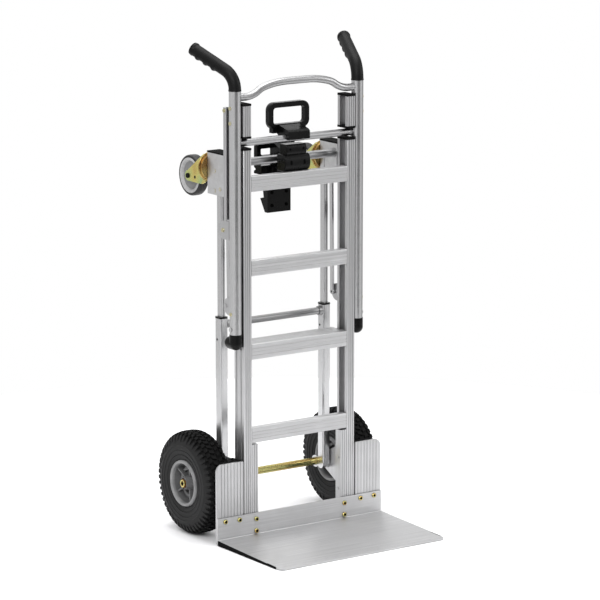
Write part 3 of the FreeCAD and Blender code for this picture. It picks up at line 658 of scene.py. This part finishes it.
def toe_edges():
    """Black trim covering both side edges of the toe plate from the heel to near its front corners."""
    bm = bmesh.new()
    low, high = corners("toe_plate")
    front = low.y + TRIM_SETBACK * MM
    rear = -1.0 * MM
    foot = 0.3 * MM
    side_view = [(front, foot), (front, TRIM_FRONT_TOP * MM), (rear, TRIM_REAR_TOP * MM), (rear, foot)]
    for edge in (low.x, high.x):
        out = math.copysign(TRIM_PROUD * MM, edge)
        loft(bm, [[Vector((x, y, z)) for y, z in side_view] for x in (edge - 4 * out, edge + out)])
    piece("toe_edge_trim", bm, "toe_plugs", material=ACCENT["flat_black"], replaced=["toe_plugs"])


toe_edges()


BOX_RIVETS = [(98, 896, 4.4), (98, 848, 4.4), (74, 854, 5.2)]
RIVET_HEIGHT = 1.6


def box_rivets():
    """Domed rivet heads on the outer faces of the caster boxes."""
    bm = bmesh.new()
    low, high = corners("caster_boxes")
    outer = (high.x - low.x) / 2 - RIVET_HEIGHT * MM
    for y, z, r in BOX_RIVETS:
        for sign in (-1, 1):
            at = Vector((sign * outer, y * MM, z * MM))
            dome = [(-0.5, r), (0.5, r), (1.0, r * 0.8), (1.1, r * 0.5), (0.6, r * 0.4), (0.6, 0.1),
                    (-0.5, 0.1)]
            lathe(bm, [(sign * a * MM, b * MM) for a, b in dome], at, turns=28)
    piece("box_rivets", bm, "caster_boxes", material=ACCENT["rivet"])


box_rivets()


# ---- casters ---------------------------------------------------------------------
WEB_INNER_R = 15.0
WEB_OUTER_R = 34.5
WEB_HALF = 11.0


def caster_wheel(side):
    """Tread with rounded shoulders on a pale centre; the recessed web takes a darker copy of the centre
    plastic, painted shade.
    """
    axle = JOINT_AT[side + "_caster_spin"]
    tread = bmesh.new()
    half = [(12.0, 43.0), (12.4, 45.2), (11.6, 47.8), (8.8, 49.6), (4.0, 50.0)]
    lathe(tread, [(a * MM, r * MM) for a, r in half + [(-a, r) for a, r in reversed(half)]], axle, turns=80)
    node = side + "_caster_tread"
    piece(side + "_caster_tyre", tread, node, replaced=[node], smooth=40)
    core = bmesh.new()
    half = [(13.4, 5.1), (13.4, 12.5), (12.4, 14.0), (9.0, 15.0), (5.6, 17.0), (5.2, 32.0), (7.0, 34.5),
            (11.6, 36.0), (12.8, 37.4), (13.0, 41.6), (12.2, 43.1)]
    lathe(core, [(a * MM, r * MM) for a, r in half + [(-a, r) for a, r in reversed(half)]], axle, turns=80)
    # Painted shade: faces of the recessed web take the darker plastic.
    for face in core.faces:
        spot = face.calc_center_median() - axle
        if WEB_INNER_R * MM < spot.yz.length < WEB_OUTER_R * MM and abs(spot.x) < WEB_HALF * MM:
            face.material_index = 1
    node = side + "_caster_core"
    piece(side + "_caster_centre", core, node, replaced=[node], smooth=40, second=ACCENT["core_web_painted_shade"])


def yoke(side):
    """Pressed fork: flanged crown with raised ball-race rings, tapering cheeks, bolt and nut."""
    bm = bmesh.new()
    low, _ = corners(side + "_yoke")
    pin = JOINT_AT[side + "_caster_swivel"]
    axle = JOINT_AT[side + "_caster_spin"]
    crown_at = Vector((pin.x, low.y, pin.z))
    disc = [(0.0, 6.2), (0.0, 35.5), (0.8, 36.8), (2.2, 37.0), (3.2, 35.4), (3.4, 32.5), (4.6, 31.2),
            (6.8, 30.6), (8.0, 28.8), (8.2, 24.0), (6.6, 22.4), (6.4, 14.0), (7.8, 12.0), (8.0, 6.2)]
    lathe(bm, [(a * MM, r * MM) for a, r in disc], crown_at, axis="Y", turns=72)
    for face in bm.faces:
        face.material_index = 1
    reach = (axle.y - low.y) * 1000
    drop = (pin.z - axle.z) * 1000
    top = [(1.5, 30.0), (9.0, 31.0), (20.0, 24.0)]
    nose = []
    for k in range(9):
        a = math.radians(75 - 150 * k / 8 + 8)
        nose.append((reach + 13.5 * math.cos(a), -drop + 13.5 * math.sin(a)))
    outline = top + nose + [(34.0, -drop - 13.5), (14.0, -43.0), (1.5, -37.0)]
    dark = bmesh.new()
    for cheek in (-1, 1):
        inner = cheek * 14.2
        outer = cheek * 17.0
        loft(bm, [[crown_at + Vector((x, y, z)) * MM for y, z in outline] for x in (inner, outer)])
        for y, r, height in ((reach, 6.2, 3.6), (reach - 31.0, 3.8, 0.3)):
            at = crown_at + Vector((outer, y, -drop)) * MM
            knob = [(0.0, r), (cheek * height * 0.7, r), (cheek * height, r * 0.8), (cheek * height, 0.1),
                    (0.0, 0.1)]
            lathe(dark, [(a * MM, b * MM) for a, b in knob], at, turns=28)
    lathe(bm, [(-17 * MM, 4.9 * MM), (17 * MM, 4.9 * MM), (17 * MM, 1 * MM), (-17 * MM, 1 * MM)],
          Vector((pin.x, axle.y, axle.z)), turns=24)
    piece(side + "_yoke_bolt", dark, side + "_yoke", material=MATERIAL["black_screw"])
    return piece(side + "_yoke_pressed", bm, side + "_yoke", replaced=[side + "_yoke"], smooth=35,
                 bevel=0.0009, second=ACCENT["race"])


for side in SIDES:
    caster_wheel(side)
    yoke(side)


# ---- finish of the carried-over parts ------------------------------------------------
EDGE = {
    "toe_plate": 0.6, "caster_boxes": 0.6, "pull_handle": 2.0, "release_lever": 1.4, "hook_bracket": 0.8,
    "left_rail": 0.5, "right_rail": 0.5, "left_wing": 0.5, "right_wing": 0.5,
    "top_rung": 0.5, "upper_rung": 0.5, "deep_rung": 0.5, "lower_rung": 0.5,
    "frame_caps": 0.8, "short_rail_caps": 0.8, "box_caps": 0.8,
}


def soften_edges(obj, width):
    """Round the sharp edges of a carried-over mesh without touching the mesh itself."""
    weld = obj.modifiers.new("weld", "WELD")
    weld.merge_threshold = 0.00001
    edge = obj.modifiers.new("edges", "BEVEL")
    edge.width = width * MM
    edge.segments = 2
    edge.limit_method = "ANGLE"
    edge.angle_limit = math.radians(40)
    edge.use_clamp_overlap = True
    edge.harden_normals = True


# bracket_screws take the near-black hole material: painted shade in the screw holes.
OWN_FINISH = {
    "axle": ACCENT["axle"], "axle_hardware": ACCENT["bush"], "caster_raceways": ACCENT["race"],
    "handle_rivets": ACCENT["rivet"], "bracket_screws": ACCENT["socket"],
    "box_caps": ACCENT["flat_black"], "frame_caps": ACCENT["flat_black"],
    "short_rail_caps": ACCENT["flat_black"],
}
for name, obj in NODES.items():
    obj.data.materials.clear()
    obj.data.materials.append(OWN_FINISH.get(name, MATERIAL[SLOT_OF[name]]))
    if name in EDGE:
        soften_edges(obj, EDGE[name])


# ---- floor, light and camera ---------------------------------------------------------
def floor():
    bm = bmesh.new()
    bmesh.ops.create_circle(bm, cap_ends=True, segments=96, radius=1.7)
    mesh = bpy.data.meshes.new("floor")
    bm.to_mesh(mesh)
    bm.free()
    obj = bpy.data.objects.new("floor", mesh)
    obj.location.z = -0.0004
    bpy.context.scene.collection.objects.link(obj)
    g = Graph("floor_white")
    tone = g.ramp(g.noise((3.0, 3.0, 3.0)), [(0.3, grey(0.90)), (0.7, grey(0.92))])
    mesh.materials.append(g.finish(Base_Color=tone, Roughness=0.75))


def area(name, place, aim, size, power, tall=None):
    data = bpy.data.lights.new(name, "AREA")
    data.energy = power
    data.size = size
    if tall:
        data.shape = "RECTANGLE"
        data.size_y = tall
    lamp = bpy.data.objects.new(name, data)
    lamp.location = place
    lamp.rotation_mode = "QUATERNION"
    lamp.rotation_quaternion = (Vector(aim) - Vector(place)).to_track_quat("-Z", "Y")
    bpy.context.scene.collection.objects.link(lamp)


def studio():
    """White surround for the eye; for the light, a room that is darker towards the front."""
    world = bpy.data.worlds.new("studio")
    bpy.context.scene.world = world
    world.use_nodes = True
    tree = world.node_tree
    tree.nodes.clear()
    add = tree.nodes.new
    link = tree.links.new
    coords = add("ShaderNodeTexCoord")
    parts = add("ShaderNodeSeparateXYZ")
    link(coords.outputs["Generated"], parts.inputs[0])
    angle = add("ShaderNodeMath")
    angle.operation = "ARCTAN2"
    link(parts.outputs["Y"], angle.inputs[0])
    link(parts.outputs["X"], angle.inputs[1])
    turn = add("ShaderNodeMapRange")
    turn.inputs["From Min"].default_value = -math.pi
    turn.inputs["From Max"].default_value = math.pi
    link(angle.outputs[0], turn.inputs["Value"])
    ramp = add("ShaderNodeValToRGB")
    link(turn.outputs[0], ramp.inputs[0])
    stops = [(0.0, 0.9), (0.12, 0.85), (0.17, 0.25), (0.28, 0.22), (0.335, 0.95), (0.42, 0.75), (0.52, 0.35),
             (0.62, 0.5), (0.75, 0.85), (1.0, 0.9)]
    while len(ramp.color_ramp.elements) < len(stops):
        ramp.color_ramp.elements.new(0.5)
    for element, (place, value) in zip(ramp.color_ramp.elements, stops):
        element.position = place
        element.color = (value, value, value, 1)
    overhead = add("ShaderNodeMapRange")
    overhead.inputs["From Min"].default_value = 0.25
    overhead.inputs["From Max"].default_value = 0.7
    link(parts.outputs["Z"], overhead.inputs["Value"])
    blend = add("ShaderNodeMix")
    blend.data_type = "RGBA"
    link(overhead.outputs[0], blend.inputs[0])
    link(ramp.outputs[0], blend.inputs[6])
    blend.inputs[7].default_value = (1, 1, 1, 1)
    room = add("ShaderNodeBackground")
    link(blend.outputs[2], room.inputs[0])
    room.inputs[1].default_value = 0.85
    white = add("ShaderNodeBackground")
    white.inputs[0].default_value = (1, 1, 1, 1)
    white.inputs[1].default_value = 1.0
    path = add("ShaderNodeLightPath")
    choose = add("ShaderNodeMixShader")
    link(path.outputs["Is Camera Ray"], choose.inputs[0])
    link(room.outputs[0], choose.inputs[1])
    link(white.outputs[0], choose.inputs[2])
    out = add("ShaderNodeOutputWorld")
    link(choose.outputs[0], out.inputs[0])


def camera():
    """Long lens, far back to the left of the toe plate, looking slightly down."""
    data = bpy.data.cameras.new("camera")
    data.sensor_width = 36.0
    data.lens = 196.2
    data.clip_end = 100.0
    cam = bpy.data.objects.new("camera", data)
    azimuth, elevation = math.radians(-34.83), math.radians(11.39)
    back = Vector((math.sin(azimuth) * math.cos(elevation), -math.cos(azimuth) * math.cos(elevation),
                   math.sin(elevation)))
    cam.location = (-4.4235, -6.3540, 2.1362)
    cam.rotation_mode = "QUATERNION"
    cam.rotation_quaternion = (-back).to_track_quat("-Z", "Y")
    bpy.context.scene.collection.objects.link(cam)
    bpy.context.scene.camera = cam


floor()
studio()
area("key", (-3.2, -3.0, 3.4), (0, 0, 0.6), 2.4, 130)
area("fill", (3.4, -2.2, 2.2), (0, 0, 0.6), 2.0, 45)
area("top", (0.2, 0.2, 4.2), (0, 0, 0), 3.2, 120)
area("rear", (1.2, 3.6, 2.4), (0, 0, 0.6), 3.0, 28)
camera()
bpy.context.scene.view_settings.view_transform = "Standard"
